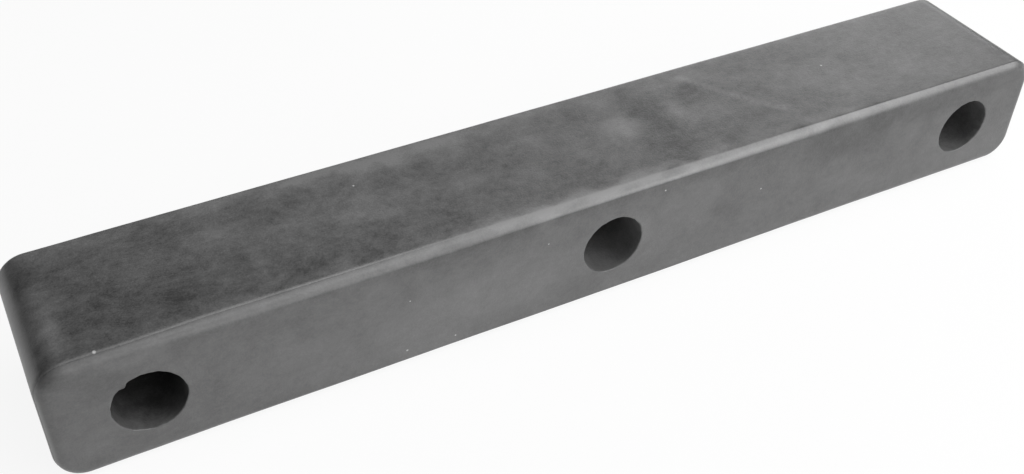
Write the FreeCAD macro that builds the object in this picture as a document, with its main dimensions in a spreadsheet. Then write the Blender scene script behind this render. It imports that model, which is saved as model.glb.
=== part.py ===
import FreeCAD, Part
import Sketcher
import math
import os

# Rubber stop: a solid moulded bar that takes the knock of a vehicle, gate or door. Bolts through its stepped
# holes hold its flat seat against a wall or frame, with their heads sunk well below the struck face.
# Millimetres. +X runs along the bar, the struck face looks towards -Y, the seat towards +Y, and +Z is up.
# The origin is at the middle of the underside.

# Driving sizes: name, value, meaning
SIZES = [
    ("block_length", 500, "bar, end to end"),
    ("block_depth", 75, "struck face to seat, which is how far the bar stands off its wall"),
    ("block_height", 60, "underside to top"),
    ("corner_radius", 13, "round on the four edges that run from the struck face to the seat"),
    ("face_edge_radius", 5, "round along the rim of the struck face"),
    ("seat_edge_radius", 3, "round along the rim of the seat"),
    ("parting_land", 1, "flat between the mould's parting line and the round of the struck face"),
    ("parting_step", 0.4, "how far the front half of the mould lies inside the rear half"),
    ("hole_count", 3, "bolt holes in the row"),
    ("end_to_hole", 40, "end of the bar to the axis of the nearest hole"),
    ("recess_diameter", 30, "wide front stretch of a hole, for a bolt head, its washer and a socket"),
    ("bolt_hole_diameter", 14, "narrow rear stretch of a hole, for the shank of an M12 bolt"),
    ("rubber_under_head", 25, "rubber that a bolt head clamps against the wall"),
    ("recess_lip_radius", 1, "soft lip where a recess opens in the struck face"),
    ("recess_floor_radius", 2, "round between the wall of a recess and its floor"),
]

# Stretches that follow from the driving sizes
FRONT_HALF_DEPTH = "(sizes.face_edge_radius + sizes.parting_land)"
RECESS_DEPTH = "(sizes.block_depth - sizes.rubber_under_head)"
ROW_LENGTH = "(sizes.block_length - 2 * sizes.end_to_hole)"

# Lengths closer than this are taken as equal
SAME = 1e-4

# Points along an edge that are looked at to tell whether the edge lies in a plane
EDGE_POINTS = 5

# How a sketch constraint names a point of a curve, and the sketch's own axes and origin
START, END, CENTRE = 1, 2, 3
ACROSS_AXIS, UP_AXIS = -1, -2
ORIGIN = (-1, 1)


def make_sheet(doc):
    """Put each driving size on a row of its own, with its name as the alias of its value."""
    sheet = doc.addObject("Spreadsheet::Sheet", "sizes")
    for row, (name, value, meaning) in enumerate(SIZES, start=1):
        sheet.set(f"A{row}", name)
        sheet.set(f"B{row}", str(value))
        sheet.set(f"C{row}", meaning)
        sheet.setAlias(f"B{row}", name)
    doc.recompute()
    return sheet


def origin_part(body, role):
    """Return the plane or axis of the body's own origin that has this role."""
    return next(part for part in body.Origin.OriginFeatures if part.Role == role)


def front_sketch(body, name, distance):
    """Start a sketch parallel to the struck face, centred on the bar and this far in front of its middle."""
    sketch = body.newObject("Sketcher::SketchObject", name)
    sketch.AttachmentSupport = [(origin_part(body, "XZ_Plane"), "")]
    sketch.MapMode = "FlatFace"
    sketch.setExpression("AttachmentOffset.Base.y", "sizes.block_height / 2")
    sketch.setExpression("AttachmentOffset.Base.z", distance)
    return sketch


def constrain(sketch, *constraint):
    """Add a constraint and return its number."""
    return sketch.addConstraint(Sketcher.Constraint(*constraint))


def bind(sketch, number, name, expression):
    """Name a dimension and tie it to the driving sizes."""
    sketch.renameConstraint(number, name)
    sketch.setExpression(f"Constraints.{name}", expression)


def draw_outline(sketch, inset):
    """Draw the bar's rounded outline as seen from the front, set in on every side by the expression inset."""
    # A rough outline comes first, and its dimensions then pull it to size
    half_length, half_height, radius = 200, 25, 10
    corner_x = half_length - radius
    corner_y = half_height - radius
    bottom, right, top, left = range(4)
    ends = [
        ((-corner_x, -half_height), (corner_x, -half_height)),
        ((half_length, -corner_y), (half_length, corner_y)),
        ((corner_x, half_height), (-corner_x, half_height)),
        ((-half_length, corner_y), (-half_length, -corner_y)),
    ]
    for start, end in ends:
        sketch.addGeometry(Part.LineSegment(FreeCAD.Vector(*start, 0), FreeCAD.Vector(*end, 0)))

    # Each side runs into the round that follows it anticlockwise
    centres = [(corner_x, -corner_y), (corner_x, corner_y), (-corner_x, corner_y), (-corner_x, -corner_y)]
    rounds = []
    for side, centre in enumerate(centres):
        circle = Part.Circle(FreeCAD.Vector(*centre, 0), FreeCAD.Vector(0, 0, 1), radius)
        turn = math.pi / 2
        rounds.append(sketch.addGeometry(Part.ArcOfCircle(circle, (side - 1) * turn, side * turn)))
        constrain(sketch, "Tangent", side, END, rounds[side], START)
    for side in (bottom, right, top, left):
        constrain(sketch, "Tangent", rounds[side - 1], END, side, START)
    for other in rounds[1:]:
        constrain(sketch, "Equal", rounds[0], other)

    constrain(sketch, "Horizontal", top)
    constrain(sketch, "Vertical", left)
    constrain(sketch, "Symmetric", bottom, START, bottom, END, UP_AXIS)
    constrain(sketch, "Symmetric", right, START, right, END, ACROSS_AXIS)
    length = constrain(sketch, "DistanceX", left, START, right, START, 2 * half_length)
    height = constrain(sketch, "DistanceY", bottom, START, top, START, 2 * half_height)
    corner = constrain(sketch, "Radius", rounds[0], radius)
    bind(sketch, length, "length", f"sizes.block_length - 2 * {inset}")
    bind(sketch, height, "height", f"sizes.block_height - 2 * {inset}")
    bind(sketch, corner, "corner", f"sizes.corner_radius - {inset}")


def pad(body, name, sketch, depth):
    """Give an outline its depth, towards the struck face."""
    feature = body.newObject("PartDesign::Pad", name)
    feature.Profile = sketch
    feature.setExpression("Length", depth)
    body.Document.recompute()
    return feature


def edges_at(shape, y, radius=None):
    """Name the edges that lie in the plane at this Y and, if a radius is given, are arcs of that radius."""
    names = []
    for number, edge in enumerate(shape.Edges, start=1):
        in_plane = all(abs(point.y - y) < SAME for point in edge.discretize(EDGE_POINTS))
        is_arc = radius is None or abs(getattr(edge.Curve, "Radius", 0) - radius) < SAME
        if in_plane and is_arc:
            names.append(f"Edge{number}")
    return names


def round_edges(body, name, radius, y, arc_radius=None):
    """Round the edges of the finished shape so far that edges_at finds."""
    base = body.Tip
    feature = body.newObject("PartDesign::Fillet", name)
    feature.Base = (base, edges_at(base.Shape, y, arc_radius))
    feature.setExpression("Radius", radius)
    body.Document.recompute()
    return feature


def make_stop_block(doc, sheet):
    """The one moulded piece: two mould halves that meet at a parting line, rounded rims and a row of holes."""
    body = doc.addObject("PartDesign::Body", "stop_block")
    body.Label = "stop_block"
    front = -sheet.block_depth / 2
    seat = sheet.block_depth / 2

    # The rear half of the mould shapes the bar from its seat to the parting line
    rear_outline = front_sketch(body, "rear_outline", "-sizes.block_depth / 2")
    draw_outline(rear_outline, "0")
    pad(body, "rear_moulding", rear_outline, f"sizes.block_depth - {FRONT_HALF_DEPTH}")

    # The front half is a shallow tray, a hair smaller all round, which leaves the step seen near the front
    front_outline = front_sketch(body, "front_outline", f"sizes.block_depth / 2 - {FRONT_HALF_DEPTH}")
    draw_outline(front_outline, "sizes.parting_step")
    pad(body, "front_moulding", front_outline, FRONT_HALF_DEPTH)

    round_edges(body, "face_round", "sizes.face_edge_radius", front)
    round_edges(body, "seat_round", "sizes.seat_edge_radius", seat)

    # Each hole is wide from the struck face to the bolt head's seat, and narrow from there to the wall
    hole_place = front_sketch(body, "hole_place", "sizes.block_depth / 2")
    rough_reach, rough_radius = 200, 5
    circle = Part.Circle(FreeCAD.Vector(-rough_reach, 0, 0), FreeCAD.Vector(0, 0, 1), rough_radius)
    shank = hole_place.addGeometry(circle)
    constrain(hole_place, "PointOnObject", shank, CENTRE, ACROSS_AXIS)
    reach = constrain(hole_place, "DistanceX", shank, CENTRE, *ORIGIN, rough_reach)
    width = constrain(hole_place, "Diameter", shank, 2 * rough_radius)
    bind(hole_place, reach, "reach", f"{ROW_LENGTH} / 2")
    bind(hole_place, width, "width", "sizes.bolt_hole_diameter")
    doc.recompute()
    uncut_volume = body.Shape.Volume
    hole = body.newObject("PartDesign::Hole", "bolt_hole")
    hole.Profile = hole_place
    hole.DepthType = "ThroughAll"
    hole.HoleCutType = "Counterbore"
    hole.HoleCutCustomValues = True
    hole.setExpression("Diameter", "sizes.bolt_hole_diameter")
    hole.setExpression("HoleCutDiameter", "sizes.recess_diameter")
    hole.setExpression("HoleCutDepth", RECESS_DEPTH)
    doc.recompute()
    if body.Shape.Volume >= uncut_volume:
        raise RuntimeError("the first hole removes nothing")

    row = body.newObject("PartDesign::LinearPattern", "hole_row")
    row.Originals = [hole]
    row.Direction = (origin_part(body, "X_Axis"), [""])
    row.setExpression("Length", ROW_LENGTH)
    row.setExpression("Occurrences", "sizes.hole_count")
    body.Tip = row
    doc.recompute()

    recess_radius = sheet.recess_diameter / 2
    recess_floor = seat - sheet.rubber_under_head
    round_edges(body, "recess_lips", "sizes.recess_lip_radius", front, recess_radius)
    round_edges(body, "recess_floors", "sizes.recess_floor_radius", recess_floor, recess_radius)
    return body


def check(doc, body):
    """Stop if any object of the document failed or if the piece is not one sound solid."""
    failed = [item.Name for item in doc.Objects if {"Invalid", "Error"} & set(item.State)]
    if failed:
        raise RuntimeError(f"these objects failed: {failed}")
    shape = body.Shape
    if shape.isNull() or not shape.isValid() or len(shape.Solids) != 1:
        raise RuntimeError(f"{body.Label} is not one sound solid")


def main():
    doc = FreeCAD.newDocument("rubber_stop")
    sheet = make_sheet(doc)
    body = make_stop_block(doc, sheet)
    doc.recompute()
    check(doc, body)
    os.makedirs("parts", exist_ok=True)
    body.Shape.exportStep(f"parts/{body.Label}.step")
    box = body.Shape.optimalBoundingBox()
    litres = body.Shape.Volume / 1e6
    print(f"{body.Label}: {box.XLength:.1f} x {box.YLength:.1f} x {box.ZLength:.1f} mm, {litres:.3f} litres")


main()
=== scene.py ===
import math

import bmesh
import bpy
from mathutils import Matrix, Vector, noise


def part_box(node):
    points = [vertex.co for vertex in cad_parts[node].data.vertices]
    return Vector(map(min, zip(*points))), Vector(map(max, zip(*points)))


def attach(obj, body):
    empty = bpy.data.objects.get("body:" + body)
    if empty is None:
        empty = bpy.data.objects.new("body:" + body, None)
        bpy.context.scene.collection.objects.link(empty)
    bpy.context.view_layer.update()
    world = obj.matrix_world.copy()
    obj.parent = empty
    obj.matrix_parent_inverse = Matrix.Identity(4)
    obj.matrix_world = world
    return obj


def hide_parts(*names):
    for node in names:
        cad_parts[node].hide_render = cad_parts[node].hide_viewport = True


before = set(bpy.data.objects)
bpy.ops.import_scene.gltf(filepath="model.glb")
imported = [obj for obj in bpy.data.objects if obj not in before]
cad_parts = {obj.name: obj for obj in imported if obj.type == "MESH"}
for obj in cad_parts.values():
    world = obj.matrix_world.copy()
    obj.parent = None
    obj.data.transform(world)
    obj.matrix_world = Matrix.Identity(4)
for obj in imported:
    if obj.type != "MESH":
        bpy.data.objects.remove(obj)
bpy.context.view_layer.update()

MM = 0.001

# The bar: one solid piece of rubber, pressed and cured in a steel mould of two halves. The rear half shapes
# nearly all of it and the front half only a shallow tray, so the step where they met runs round the bar just
# behind the struck face. Pins in the tray leave the bolt holes, and nothing is cut or joined afterwards.
low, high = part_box("stop_block")
middle = (low + high) / 2
X, Y, Z = range(3)
CORNER_RADIUS = 13 * MM
CORNER_STEPS = 24
SEAT_ROUND = 3 * MM
SEAT_ROUND_STEPS = 8
# The rim of the struck face starts as an even round that reaches this far in, and gets its true form below
RIM_INSET = 5.4 * MM
RIM_STEPS = 12
# Lengths closer than this are taken as equal
TOUCH = 0.001 * MM


def straight_along_y(edge):
    return abs(edge.verts[0].co.y - edge.verts[1].co.y) > TOUCH


def lies_at(part, y):
    return all(abs(vert.co.y - y) < TOUCH for vert in part.verts)


def round_off(edges, radius, steps):
    """Round these edges of the bar with an arc."""
    bmesh.ops.bevel(bar, geom=edges, offset=radius, offset_type="OFFSET", segments=steps, profile=0.5,
                    affect="EDGES", material=-1)


def evenly(start, end, pitch):
    """Places from start to end, both kept, about one pitch apart."""
    count = round((end - start) / pitch)
    return [start + (end - start) * number / count for number in range(count + 1)]


def slice_across(axis, places):
    """Cut lines round the whole bar at these places along an axis, so that its skin can be shaped there."""
    normal = [0, 0, 0]
    normal[axis] = 1
    for place in places:
        point = Vector((0, 0, 0))
        point[axis] = place
        bmesh.ops.bisect_plane(bar, geom=bar.verts[:] + bar.edges[:] + bar.faces[:], dist=TOUCH,
                               plane_co=point, plane_no=normal)


bar = bmesh.new()
bmesh.ops.create_cube(bar, size=1.0)
bmesh.ops.scale(bar, vec=high - low, verts=bar.verts)
bmesh.ops.translate(bar, vec=middle, verts=bar.verts)
round_off([edge for edge in bar.edges if straight_along_y(edge)], CORNER_RADIUS, CORNER_STEPS)
round_off([edge for edge in bar.edges if lies_at(edge, low.y)], RIM_INSET, RIM_STEPS)
round_off([edge for edge in bar.edges if lies_at(edge, high.y)], SEAT_ROUND, SEAT_ROUND_STEPS)

# Cut lines lie close together at the parting step, at these distances behind it in mm, and an even net of
# lines covers the rest. In the struck face and the seat, a square window of the net makes room for each hole.
PARTING_PLACE = 6 * MM
PARTING_LINES = [-0.5, -0.35, -0.22, -0.1, 0.0, 0.12, 0.3, 0.5, 0.9, 1.5, 2.5, 4.0]
NET_PITCH = 2 * MM
DEPTH_PITCH = 3 * MM
NET_MARGIN = 1 * MM
HALF_WINDOW = 20 * MM
STRAIGHT_END = high.x - CORNER_RADIUS - NET_MARGIN
slice_across(Y, [low.y + PARTING_PLACE + offset * MM for offset in PARTING_LINES])
slice_across(Y, evenly(low.y + 2 * PARTING_PLACE, high.y - 2 * SEAT_ROUND, DEPTH_PITCH))
slice_across(Z, evenly(middle.z - HALF_WINDOW, middle.z + HALF_WINDOW, NET_PITCH))
slice_across(X, evenly(-STRAIGHT_END, STRAIGHT_END, NET_PITCH))

# Each hole is wide to 50 mm deep, for a bolt's head, and narrow from there to the seat, for its shank. A
# narrow flat ring round the mouth keeps the shading of the soft lip off the struck face.
HOLE_PLACES = [-210 * MM, 0, 210 * MM]
RECESS_RADIUS = 15 * MM
SHANK_RADIUS = 7 * MM
RECESS_DEPTH = 50 * MM
LIP_ROUND = 0.5 * MM
LIP_MARGIN = 0.5 * MM
FLOOR_ROUND = 2 * MM
EDGE_BREAK = 0.3 * MM
HOLE_SIDES = 160
ARC_STEPS = 4
WALL_START = 3 * MM
WALL_END = RECESS_DEPTH - 2 * FLOOR_ROUND
depth = high.y - low.y


def arc(centre, radius, start, end):
    """Points of an arc in the plane of (distance from the hole's axis, depth); the angles are in degrees."""
    turn = [math.radians(start + (end - start) * step / ARC_STEPS) for step in range(ARC_STEPS + 1)]
    return [(centre[0] + radius * math.cos(angle), centre[1] + radius * math.sin(angle)) for angle in turn]


hole_profile = [(RECESS_RADIUS + LIP_ROUND + LIP_MARGIN, 0)]
hole_profile += arc((RECESS_RADIUS + LIP_ROUND, LIP_ROUND), LIP_ROUND, -90, -180)
hole_profile += [(RECESS_RADIUS, place) for place in evenly(WALL_START, WALL_END, DEPTH_PITCH)]
hole_profile += arc((RECESS_RADIUS - FLOOR_ROUND, RECESS_DEPTH - FLOOR_ROUND), FLOOR_ROUND, 0, 90)
hole_profile += arc((SHANK_RADIUS + EDGE_BREAK, RECESS_DEPTH + EDGE_BREAK), EDGE_BREAK, -90, -180)
hole_profile += arc((SHANK_RADIUS + EDGE_BREAK, depth - EDGE_BREAK), EDGE_BREAK, 180, 90)

hole = bmesh.new()
points = [hole.verts.new((radius, place, 0)) for radius, place in hole_profile]
edges = [hole.edges.new(pair) for pair in zip(points, points[1:])]
bmesh.ops.spin(hole, geom=points + edges, axis=(0, 1, 0), angle=2 * math.pi, steps=HOLE_SIDES,
               use_merge=True)
hole_mesh = bpy.data.meshes.new("hole")
hole.to_mesh(hole_mesh)
hole.free()


def open_edges(hole_x, y):
    """Edges with a face on one side only, at this hole and depth."""
    return [edge for edge in bar.edges if edge.is_boundary and lies_at(edge, y)
            and abs(edge.verts[0].co.x - hole_x) < HALF_WINDOW + TOUCH]


for hole_x in HOLE_PLACES:
    for y in (low.y, high.y):
        square = [face for face in bar.faces if lies_at(face, y)
                  and abs(face.calc_center_median().x - hole_x) < HALF_WINDOW
                  and abs(face.calc_center_median().z - middle.z) < HALF_WINDOW]
        bmesh.ops.delete(bar, geom=square, context="FACES")
        border = open_edges(hole_x, y)
        bmesh.ops.subdivide_edges(bar, edges=border, cuts=HOLE_SIDES // len(border) - 1)
    placed_hole = hole_mesh.copy()
    placed_hole.transform(Matrix.Translation((hole_x, low.y, middle.z)))
    bar.from_mesh(placed_hole)
    bpy.data.meshes.remove(placed_hole)
    for y in (low.y, high.y):
        bmesh.ops.bridge_loops(bar, edges=open_edges(hole_x, y))
bpy.data.meshes.remove(hole_mesh)

# The halves of the mould didn't meet quite squarely, so the rim of the struck face changes along the bar.
# Each station gives a place from the left end, how far the parting line lies behind the struck face, how far
# the tray's round reaches in over that face, how far the rear half's edge drops towards the line and over
# what width, and the height of the step there, all in mm. Then come the tilt in degrees at which the round
# leaves the step, and how late it turns: 2 is an even quarter round, and more keeps that tilt for longer.
RIM_STATIONS = [
    (0, 3.6, 6.4, 0.40, 1.6, 0.10, 12, 2.6),
    (30, 4.3, 6.4, 0.40, 1.6, 0.10, 12, 2.6),
    (75, 5.2, 5.2, 0.40, 1.6, 0.08, 12, 2.3),
    (125, 5.0, 4.1, 0.38, 1.6, 0.06, 12, 2.0),
    (170, 4.9, 4.1, 0.40, 2.2, 0.04, 15, 1.9),
    (215, 4.7, 3.6, 0.42, 2.8, 0.02, 18, 1.9),
    (272, 4.6, 3.5, 0.40, 2.8, 0.02, 19, 1.9),
    (330, 4.2, 3.9, 0.30, 2.0, 0.02, 24, 1.9),
    (385, 3.7, 5.4, 0.10, 1.0, 0.03, 36, 3.0),
    (420, 3.4, 5.7, 0.08, 0.8, 0.03, 38, 3.3),
    (500, 3.1, 5.9, 0.08, 0.7, 0.04, 38, 3.3),
]
# The rim's changes fade out this far behind the struck face, and the parting line also wanders a little
RIM_REACH = 20 * MM
LINE_WANDER = 0.15 * MM
LINE_WAVE_SIZE = 16 * MM
# Cut lines meet a round on its chords, so its points can lie a hair inside the true arc
ARC_SLACK = 0.05 * MM
# Rubber shrinks as it cools, so the skin lies a little inside the mould's outline and isn't quite even
SUNK = 0.15 * MM
WAVE_SIZE = 45 * MM
WAVE_HEIGHT = 0.1 * MM
RIPPLE_SIZE = 9 * MM
RIPPLE_HEIGHT = 0.03 * MM
FLAT_WAVE_SIZE = 50 * MM
SKIN_DEPTH = 3 * MM
# Half the length and height of the bar between its corner rounds
core = (high - low) / 2 - Vector((CORNER_RADIUS, 0, CORNER_RADIUS))

# Flaws that the photograph shows: ragged lips round the holes, and a tag of rubber on the left hole's lip
LIP_REACH = 4 * MM
RAGGED = 0.26 * MM
FINE_RAG_SIZE = 2.5 * MM
WIDE_RAG_SIZE = 9 * MM
TAG_PLACE = Vector((-218.5 * MM, low.y, 42.4 * MM))
TAG_REACH = 2.4 * MM
TAG_LENGTH = 1.2 * MM


def ease(share):
    """Go from 0 to 1 without a kink at either end."""
    share = min(max(share, 0), 1)
    return share * share * (3 - 2 * share)


def beyond(value, limit):
    """How far a value lies outside the limits, with its sign."""
    return value - min(max(value, -limit), limit)


def waver(point, size, seed):
    """Smooth unevenness from about -1 to 1, with hills about this size."""
    return noise.noise(Vector(point) / size + Vector((0, 0, seed)))


def off_core(point):
    """How far a point lies outside the straight core of the bar, along its length and its height."""
    return Vector((beyond(point.x, core.x), 0, beyond(point.z - middle.z, core.z)))


def rim_at(x):
    """What a rim station gives, at any place along the bar, in metres and radians."""
    place = (x - low.x) / MM
    for near, far in zip(RIM_STATIONS, RIM_STATIONS[1:]):
        if place <= far[0]:
            break
    share = ease((place - near[0]) / (far[0] - near[0]))
    *lengths, tilt, late = [start + (end - start) * share for start, end in zip(near[1:], far[1:])]
    return [length * MM for length in lengths] + [math.radians(tilt), late]


def tray_inset(behind, line, reach, start_inset, tilt, late):
    """How far the tray's skin lies inside the bar's outline: a quarter round that starts at a tilt."""
    lean = math.tan(tilt) * (line - behind)
    rounded = reach - start_inset - math.tan(tilt) * line
    along = min((line - behind) / line, 1)
    return start_inset + lean + rounded * (1 - (1 - along ** late) ** (1 / late))


def shape_skin(vert):
    """Give a point of the bar's outer skin its true place round the parting line, and its unevenness."""
    outwards = off_core(vert.co)
    reach = outwards.length
    if reach < CORNER_RADIUS - RIM_INSET - ARC_SLACK:
        return
    behind = vert.co.y - low.y
    inset = SUNK + WAVE_HEIGHT * waver(vert.co, WAVE_SIZE, seed=3)
    inset += RIPPLE_HEIGHT * waver(vert.co, RIPPLE_SIZE, seed=5)
    if behind < RIM_REACH:
        line, round_reach, drop, drop_width, step, tilt, late = rim_at(vert.co.x)
        line += LINE_WANDER * waver(vert.co, LINE_WAVE_SIZE, seed=8)
        past_line = behind - PARTING_PLACE
        if past_line >= -TOUCH:
            behind = line + past_line * (RIM_REACH - line) / (RIM_REACH - PARTING_PLACE)
            inset += drop * max(1 - past_line / drop_width, 0) ** 2
        else:
            behind *= line / PARTING_PLACE
            inset += tray_inset(behind, line, round_reach, drop + step, tilt, late)
        vert.co.y = low.y + behind
        reach = CORNER_RADIUS
    vert.co += outwards.normalized() * (reach - max(inset, 0) - outwards.length)


def sink_flats(vert):
    """Let the struck face and the seat sink a hair, as they do when the rubber cools."""
    sink = WAVE_HEIGHT * (1 + waver((vert.co.x, 0, vert.co.z), FLAT_WAVE_SIZE, seed=11))
    for face_y, inwards in ((low.y, 1), (high.y, -1)):
        vert.co.y += inwards * sink * ease(1 - abs(vert.co.y - face_y) / SKIN_DEPTH)


def fray_lips(vert):
    """Make the mouth of a hole ragged."""
    hole_x = min(HOLE_PLACES, key=lambda place: abs(place - vert.co.x))
    off_axis = Vector((vert.co.x - hole_x, 0, vert.co.z - middle.z))
    fade = ease(1 - (vert.co.y - low.y) / LIP_REACH)
    if off_axis.length < RECESS_RADIUS + LIP_ROUND + TOUCH and fade > 0:
        ragged = RAGGED * (waver(vert.co, FINE_RAG_SIZE, seed=31) + waver(vert.co, WIDE_RAG_SIZE, seed=37))
        tag = TAG_LENGTH * ease(1 - (vert.co - TAG_PLACE).length / TAG_REACH)
        vert.co += off_axis.normalized() * (fade * ragged - tag)


for vert in bar.verts:
    shape_skin(vert)
    sink_flats(vert)
    fray_lips(vert)

bmesh.ops.recalc_face_normals(bar, faces=bar.faces)
bar_mesh = bpy.data.meshes.new("rubber_bar")
bar.to_mesh(bar_mesh)
bar.free()
bar_mesh.shade_smooth()
rubber_bar = bpy.data.objects.new("rubber_bar", bar_mesh)
bpy.context.scene.collection.objects.link(rubber_bar)

# Paler (above 0) and darker (below 0) patches, as the photograph shows: mostly where grey bloom lies thick
# and where it is worn off, partly painted light and shade, as marked: place along the bar, behind the struck
# face and above the underside, reach along and across, in mm, and strength
TOP_BLOOM_AND_SHADE = [
    (-240, 62, 60, 9, 8, -0.5),
    (-237, 19, 60, 3.5, 11, 1.1),
    (-228, 48, 60, 6, 12, -0.4),
    (-187, 20, 60, 27, 10, -0.4),
    (-174, 32, 60, 7, 4, 0.4),
    (-164, 50, 60, 14, 8, 0.7),
    (-154, 24, 60, 3, 16, 0.5),
    (-150, 11, 60, 9, 6, 0.4),
    (-134, 40, 60, 13, 7, 0.6),
    (-128, 18, 60, 16, 8, -0.3),
    (-126, 71, 60, 20, 6, 0.7),
    (-114, 29, 60, 9, 7, 0.6),
    (-104, 39, 60, 14, 7, 0.7),
    (-100, 71, 60, 140, 6, 1.3),
    (-92, 65, 60, 48, 7, 0.7),
    (-74, 42, 60, 5, 18, 0.4),
    (-70, 40, 60, 75, 30, 0.3),
    (-62, 50, 60, 8, 6, 0.4),
    (-57, 36, 60, 9, 6, 0.7),
    (-51, 18, 60, 12, 6, -0.4),
    (-48, 58, 60, 14, 7, 0.4),
    (-20, 48, 60, 11, 15, 0.65),
    (3, 35, 60, 5, 20, 0.6),
    (27, 41, 60, 9, 9, 1.3),
    (28, 64, 60, 8, 7, 1.0),
    (38, 46, 60, 6, 8, -0.6),
    (44, 38, 60, 9, 26, -0.8),
    (48, 61, 60, 4, 6, 0.5),
    (59, 44, 60, 4, 10, 0.7),
    (73, 53, 60, 8, 6, -0.9),
    (76, 64, 60, 13, 5, 1.0),
    (100, 38, 60, 10, 8, -0.8),
    (118, 56, 60, 30, 10, -0.3),
    (138, 20, 60, 12, 9, 0.3),
    (146, 24, 60, 18, 12, 0.3),
    (147, 35, 60, 5, 20, 0.4),
    (184, 22, 60, 10, 12, 0.4),
    (187, 52, 60, 14, 10, -0.35),
    (205, 15, 60, 15, 8, 0.45),
    (205, 60, 60, 22, 7, -0.3),
    # Painted shade: darkens the round that turns into the right end
    (247, 50, 60, 10, 42, -1.4),
]
# Painted highlight and shade on the rim of the struck face, and painted shade in its left corner
RIM_PAINTED_LIGHT = [
    (-245, 2, 56, 6, 6, -0.9),
    (-222, 0.5, 56, 22, 2.5, 0.9),
    (-20, 0.5, 57, 110, 3.5, -0.8),
    (-10, 5, 60, 75, 4, 1.8),
    (118, 1, 57.5, 25, 3, -0.4),
    (118, 5, 60, 25, 4, 0.9),
]
STRUCK_FACE_BLOOM_AND_SHADE = [
    (-184, 0, 28, 5, 11, -0.4),
    (-152, 0, 30, 9, 9, 0.5),
    (-125, 0, 30, 7, 16, -0.3),
    (-90, 0, 26, 80, 20, 0.5),
    (-87, 0, 8, 17, 6, 0.7),
    (-75, 0, 22, 45, 13, 0.4),
    (-71, 0, 30, 8, 14, 0.4),
    (20, 0, 36, 28, 15, 0.5),
    (62, 0, 28, 9, 8, -0.4),
    (120, 0, 43, 12, 7, -0.5),
    (138, 0, 42, 12, 10, -0.35),
    # A darker strip just under the rim on the right half
    (165, 0, 51, 75, 8, -0.7),
    # Painted shade beside the left edge of the right hole
    (183, 0, 32, 8, 14, -0.4),
]
# The patches have no clean outline: each point looks them up a little way off, in a direction that changes
SHIFT = 5 * MM
SHIFT_WAVE_SIZE = 12 * MM
# A curved streak in the top, where rubber flowed together in the mould: points along the bar and behind the
# struck face, in mm
STREAK = [(74.5, 66), (85.5, 49), (97, 32), (106, 21)]
STREAK_WIDTH = 1.8 * MM
# Painted shade and light in the holes; near the mouth, a wall's lower side, where light falls in, is left out
# Strength on the walls of the left, middle and right hole, and how deep the lower side keeps the usual colour
WALL_SHADE_AND_LIGHT = [-0.8, 0.9, 0.6]
LOWER_SIDE_DEPTH = 16 * MM
# The rim, where it turns into the struck face, is rubbed smooth and shiny and is painted paler as a
# highlight.
# The round into the left end is painted paler and shinier, as a reflection. A share of 0 to 1 says how
# squarely
# the skin faces that way: where this sets in, over what stretch it gains its full weight, and over what
# stretch it fades towards the flat of the struck face.
RIM_RUB_AND_HIGHLIGHT_START = 0.15
RIM_RUB_AND_HIGHLIGHT_STRETCH = 0.2
FACE_FADE_STRETCH = 0.4
END_REFLECTION_START = 0.5
END_REFLECTION_STRETCH = 0.45
END_PAINTED_REFLECTION = 1.1


def bloom_and_light_at(point):
    """How much thicker than usual the bloom lies here, with the painted light and shade added, or how much
    thinner, below 0.
    """
    shift = Vector([waver(point, SHIFT_WAVE_SIZE, seed) for seed in (41, 43, 47)])
    point = point + SHIFT * shift
    total = 0
    for x, behind, height, along, across, strength in TOP_BLOOM_AND_SHADE + RIM_PAINTED_LIGHT + STRUCK_FACE_BLOOM_AND_SHADE:
        off = (point - Vector((x * MM, low.y + behind * MM, height * MM))) / MM
        total += strength * math.exp(-((off.x / along) ** 2 + (off.y ** 2 + off.z ** 2) / across ** 2))
    return total


def streak_at(point):
    """How much of the curved streak shows here, from 0 to 1."""
    if point.z < middle.z:
        return 0
    spot = Vector((point.x, point.y - low.y)) / MM
    gaps = []
    for start, end in zip(STREAK, STREAK[1:]):
        from_start = spot - Vector(start)
        run = Vector(end) - Vector(start)
        share = min(max(from_start.dot(run) / run.length_squared, 0), 1)
        gaps.append((from_start - share * run).length * MM)
    return math.exp(-(min(gaps) / STREAK_WIDTH) ** 2)


def hole_number(point):
    """Number of the hole that this point of the mesh lies inside, from 0, or None."""
    for number, hole_x in enumerate(HOLE_PLACES):
        if math.hypot(point.x - hole_x, point.z - middle.z) < RECESS_RADIUS + TOUCH:
            return number
    return None


def wall_shade_and_light(point, number):
    """Painted shade and light, the same all over the wall of a hole, but for its lower side near the mouth.
    """
    lower_side = ease((middle.z - point.z) / RECESS_RADIUS)
    return WALL_SHADE_AND_LIGHT[number] * max(1 - lower_side, ease((point.y - low.y) / LOWER_SIDE_DEPTH))


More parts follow.
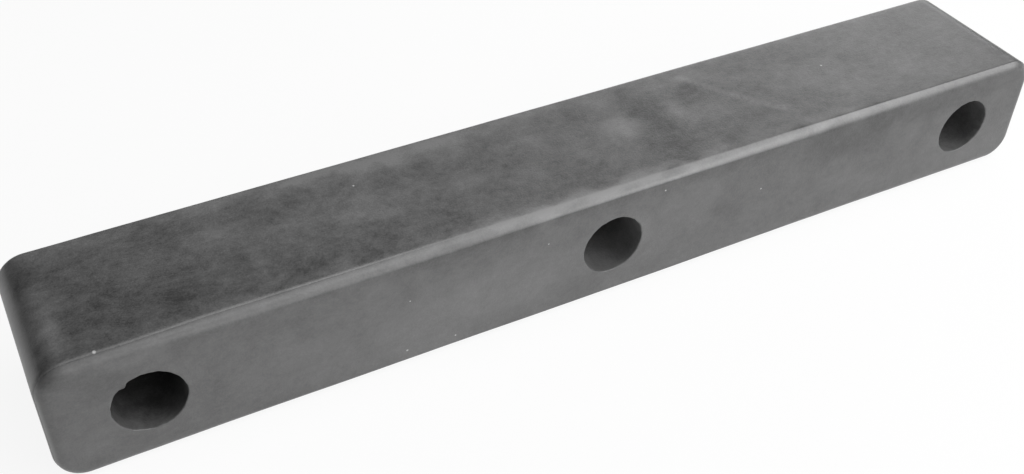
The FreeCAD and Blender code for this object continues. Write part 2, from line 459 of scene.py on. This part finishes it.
# Per point: bloom with painted light and shade in one attribute, rub with painted highlight in the other
bloom_and_painted_light = bar_mesh.attributes.new("bloom_and_painted_light", "FLOAT", "POINT")
rub_and_highlight = bar_mesh.attributes.new("rub_and_highlight", "FLOAT", "POINT")
for vert in bar_mesh.vertices:
    number = hole_number(vert.co)
    if number is not None:
        bloom_and_painted_light.data[vert.index].value = wall_shade_and_light(vert.co, number)
        continue
    bloom_and_painted_light.data[vert.index].value = bloom_and_light_at(vert.co) + streak_at(vert.co)
    # The rim's rub with its painted highlight, and the left end's painted reflection, follow which way the
    # skin faces
    if off_core(vert.co).length > TOUCH:
        forwards = -vert.normal.y
        leftwards = -vert.normal.x
        rim = ease((forwards - RIM_RUB_AND_HIGHLIGHT_START) / RIM_RUB_AND_HIGHLIGHT_STRETCH) * ease((1 - forwards) / FACE_FADE_STRETCH)
        end = ease((leftwards - END_REFLECTION_START) / END_REFLECTION_STRETCH)
        rub_and_highlight.data[vert.index].value = max(rim, end)
        # The left end's round is painted paler still, as a reflection
        bloom_and_painted_light.data[vert.index].value += END_PAINTED_REFLECTION * end


def srgb(code):
    """Turn an sRGB hex colour into the linear colour that a shader takes."""
    channels = [int(code[start:start + 2], 16) / 255 for start in (1, 3, 5)]
    linear = [value / 12.92 if value <= 0.04045 else ((value + 0.055) / 1.055) ** 2.4 for value in channels]
    return linear + [1]


def add(tree, kind, inputs=None, **settings):
    """Add a shader node with its settings, and set or link its inputs."""
    made = tree.nodes.new("ShaderNode" + kind)
    for name, value in settings.items():
        setattr(made, name, value)
    for name, value in (inputs or {}).items():
        if isinstance(value, bpy.types.NodeSocket):
            tree.links.new(value, made.inputs[name])
        else:
            made.inputs[name].default_value = value
    return made


# Moulded SBR rubber, black with carbon, under the grey bloom of wax that comes out of it with age. The eye
# sees a cloudy dark grey, dull where the bloom lies thick, with a soft wide sheen where it is worn off.
WORN = srgb("#3c3c3c")
BLOOMED = srgb("#7a7a7a")
RUBBER_IOR = 1.6
WORN_ROUGHNESS = 0.32
BLOOMED_ROUGHNESS = 0.5
# Usual thickness of the bloom, what the patches of bloom and of painted light and shade add at a strength of
# 1, and the thickness that hides the rubber
USUAL_BLOOM = 0.5
PATCH_WEIGHT = 0.5
FULL_COVER = 1.4
# Where the bar is rubbed and painted with a highlight or reflection, it is paler, shinier and nearly
# untextured
RUB_AND_HIGHLIGHT_PALE = 0.35
RUBBED_SHINE = 0.08
RUBBED_SMOOTH = 0.85
# The clouds of the bloom are a little longer along the bar than across it. The skin's real grain is too fine
# to show, so it is drawn about as coarse as a pixel.
CLOUD_SIZE = 22 * MM
CLOUD_STRETCH = 1.25
CLOUD_WEIGHT = 2.5
CLOUD_HEIGHT = 0.15 * MM
GRAIN_SIZE = 0.8 * MM
GRAIN_WEIGHT = 0.6
GRAIN_HEIGHT = 0.06 * MM
# Both are fainter on the struck face, and gain their full weight over a strip of the skin behind it
STRUCK_FACE_SHARE = 0.58
STRIP_START = 1 * MM
STRIP_END = 8 * MM
# White specks that stand out: x, behind the struck face, height and radius in mm. The inner half of a speck
# is white all over.
SPECK = srgb("#b8b8b8")
SPECK_HEART = 0.5
SPECKS = [
    (-224.7, 4.9, 59.4, 0.9),
    (-101, 55.4, 59.9, 0.6),
    (146.1, 43.4, 59.9, 0.6),
    (25.5, 0.1, 52.3, 0.5),
    (81.5, 0.1, 34, 0.5),
    (-33.8, 0.1, 43.3, 0.4),
    (-99.7, 0.1, 37, 0.4),
    (-102, 0.1, 9, 0.6),
    (-79, 0.1, 8, 0.5),
]
rubber = bpy.data.materials.new("moulded_sbr_rubber")
rubber.use_nodes = True
tree = rubber.node_tree
place = add(tree, "TexCoord").outputs["Object"]
drawn_out = add(tree, "Mapping", {"Vector": place, "Scale": (1 / CLOUD_STRETCH, 1, 1)}).outputs["Vector"]
cloud = add(tree, "TexNoise", {"Vector": drawn_out, "Scale": 1 / CLOUD_SIZE, "Detail": 6, "Roughness": 0.9,
                               "Distortion": 0.15}).outputs["Fac"]
grain = add(tree, "TexNoise", {"Vector": place, "Scale": 1 / GRAIN_SIZE, "Detail": 2}).outputs["Fac"]
uneven = -(CLOUD_WEIGHT + GRAIN_WEIGHT) / 2
for pattern, weight in ((cloud, CLOUD_WEIGHT), (grain, GRAIN_WEIGHT)):
    uneven = add(tree, "Math", {0: pattern, 1: weight, 2: uneven}, operation="MULTIPLY_ADD").outputs[0]
behind = add(tree, "SeparateXYZ", {"Vector": place}).outputs["Y"]
strength = add(tree, "MapRange", {"Value": behind, "From Min": low.y + STRIP_START,
                                  "From Max": low.y + STRIP_END,
                                  "To Min": STRUCK_FACE_SHARE}).outputs["Result"]
# The bloom, and the painted highlights, reflection and shade carried with it, set the colour
painted = add(tree, "Attribute", attribute_name="bloom_and_painted_light").outputs["Fac"]
thickness = add(tree, "Math", {0: painted, 1: PATCH_WEIGHT, 2: USUAL_BLOOM},
                operation="MULTIPLY_ADD").outputs[0]
thickness = add(tree, "Math", {0: uneven, 1: strength, 2: thickness}, operation="MULTIPLY_ADD").outputs[0]
# Painted highlight and reflection, together with the rim's rub, make the skin paler and shinier here
rub_and_highlight_share = add(tree, "Attribute", attribute_name="rub_and_highlight").outputs["Fac"]
thickness = add(tree, "Math", {0: rub_and_highlight_share, 1: RUB_AND_HIGHLIGHT_PALE, 2: thickness}, operation="MULTIPLY_ADD").outputs[0]
covered = add(tree, "MapRange", {"Value": thickness, "From Max": FULL_COVER}).outputs["Result"]
colour = add(tree, "Mix", {"Factor": covered, "A": WORN, "B": BLOOMED}, data_type="RGBA").outputs["Result"]
for x, behind_face, height, radius in SPECKS:
    centre = (x * MM, low.y + behind_face * MM, height * MM)
    away = add(tree, "VectorMath", {0: place, 1: centre}, operation="DISTANCE").outputs["Value"]
    white = add(tree, "MapRange", {"Value": away, "From Min": radius * MM,
                                   "From Max": SPECK_HEART * radius * MM}).outputs["Result"]
    colour = add(tree, "Mix", {"Factor": white, "A": colour, "B": SPECK}, data_type="RGBA").outputs["Result"]
dullness = add(tree, "MapRange", {"Value": covered, "To Min": WORN_ROUGHNESS,
                                  "To Max": BLOOMED_ROUGHNESS}).outputs["Result"]
dullness = add(tree, "Math", {0: rub_and_highlight_share, 1: -RUBBED_SHINE, 2: dullness}, operation="MULTIPLY_ADD").outputs[0]
texture = add(tree, "Math", {0: rub_and_highlight_share, 1: -RUBBED_SMOOTH, 2: 1.0}, operation="MULTIPLY_ADD").outputs[0]
ripple = add(tree, "Bump", {"Height": cloud, "Distance": CLOUD_HEIGHT, "Strength": texture}).outputs["Normal"]
bump = add(tree, "Bump", {"Height": grain, "Distance": GRAIN_HEIGHT, "Strength": texture,
                          "Normal": ripple}).outputs["Normal"]
surface = tree.nodes["Principled BSDF"]
surface.inputs["IOR"].default_value = RUBBER_IOR
tree.links.new(colour, surface.inputs["Base Color"])
tree.links.new(dullness, surface.inputs["Roughness"])
tree.links.new(bump, surface.inputs["Normal"])
bar_mesh.materials.append(rubber)

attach(rubber_bar, "root")
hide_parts("stop_block")

# The floor: a sheet of pale matt board that reaches 4 m out on every side. The camera and the sheen see it
# nearly white, as in the photograph, and it keeps the bar's shadow.
BOARD = srgb("#f2f2f2")
BOARD_ROUGHNESS = 0.9
BOARD_SPECULAR = 0.2
WHITE_SHARE = 0.9
FLOOR_REACH = 4.0
floor_plan = bmesh.new()
bmesh.ops.create_grid(floor_plan, x_segments=1, y_segments=1, size=FLOOR_REACH)
floor_mesh = bpy.data.meshes.new("floor")
floor_plan.to_mesh(floor_mesh)
floor_plan.free()
floor = bpy.data.objects.new("floor", floor_mesh)
bpy.context.scene.collection.objects.link(floor)
board = bpy.data.materials.new("pale_board")
board.use_nodes = True
tree = board.node_tree
matt = tree.nodes["Principled BSDF"]
matt.inputs["Base Color"].default_value = BOARD
matt.inputs["Roughness"].default_value = BOARD_ROUGHNESS
matt.inputs["Specular IOR Level"].default_value = BOARD_SPECULAR
ray = add(tree, "LightPath")
seen = ray.outputs["Is Camera Ray"]
for kind in ("Is Glossy Ray", "Is Transmission Ray"):
    seen = add(tree, "Math", {0: seen, 1: ray.outputs[kind]}, operation="MAXIMUM").outputs[0]
share = add(tree, "Math", {0: seen, 1: WHITE_SHARE}, operation="MULTIPLY").outputs[0]
glow = add(tree, "Emission", {"Strength": 1.0}).outputs[0]
mixed = add(tree, "MixShader", {0: share, 1: matt.outputs[0], 2: glow}).outputs[0]
tree.links.new(mixed, tree.nodes["Material Output"].inputs["Surface"])
floor_mesh.materials.append(board)

# Light: six softboxes in a dim room, all at one distance from the bar. Each hangs at an angle from the back
# towards the right and at a height, both in degrees. Its own width and height are in metres, and its level
# is the light that falls on a sheet that faces it.
ROOM_LEVEL = 0.08
SOFTBOX_DISTANCE = 1.5
room = bpy.data.worlds.new("dim_room")
room.use_nodes = True
bpy.context.scene.world = room
room.node_tree.nodes["Background"].inputs["Color"].default_value = (1, 1, 1, 1)
room.node_tree.nodes["Background"].inputs["Strength"].default_value = ROOM_LEVEL


def softbox(name, round_from_back, rise, width, height, level):
    """Hang a wide soft lamp that faces the bar."""
    turn = math.radians(round_from_back)
    rise = math.radians(rise)
    towards = Vector((math.sin(turn) * math.cos(rise), math.cos(turn) * math.cos(rise), math.sin(rise)))
    lamp = bpy.data.lights.new(name, "AREA")
    lamp.shape = "RECTANGLE"
    lamp.size = width
    lamp.size_y = height
    lamp.energy = level * math.pi * SOFTBOX_DISTANCE ** 2
    holder = bpy.data.objects.new(name, lamp)
    facing = (-towards).to_track_quat("-Z", "Y").to_matrix().to_4x4()
    holder.matrix_world = Matrix.Translation(middle + towards * SOFTBOX_DISTANCE) @ facing
    bpy.context.scene.collection.objects.link(holder)


softbox("zenith", 90, 82, 0.9, 0.9, 0.5)
softbox("overhead_right", 114, 60, 1.1, 1.1, 1.28)
softbox("right_side", 125, 36, 0.9, 0.8, 1.15)
softbox("low_right", 138, 14, 0.9, 0.5, 0.2)
softbox("front", 160, 30, 1.3, 1.3, 1.4)
softbox("back_right", 45, 18, 0.9, 0.5, 0.55)

# Camera: it stands in front of the bar, to the left of its middle and above it, where the photograph was
# taken from. Its lens and sensor are in millimetres.
CAMERA_PLACE = Vector((-243.3, -384.5, 388.9)) * MM
CAMERA_AIM = Vector((-38.3, -12.3, 30)) * MM
CAMERA_ROLL = math.radians(1.61)
SENSOR_WIDTH = 36
LENS = 43.2
NEAREST_SEEN = 10 * MM
camera = bpy.data.cameras.new("camera")
camera.sensor_width = SENSOR_WIDTH
camera.lens = LENS
camera.clip_start = NEAREST_SEEN
holder = bpy.data.objects.new("camera", camera)
upright = (CAMERA_AIM - CAMERA_PLACE).to_track_quat("-Z", "Y").to_matrix()
turn = upright @ Matrix.Rotation(CAMERA_ROLL, 3, "Z")
holder.matrix_world = Matrix.Translation(CAMERA_PLACE) @ turn.to_4x4()
bpy.context.scene.collection.objects.link(holder)
bpy.context.scene.camera = holder
bpy.context.scene.view_settings.view_transform = "Standard"
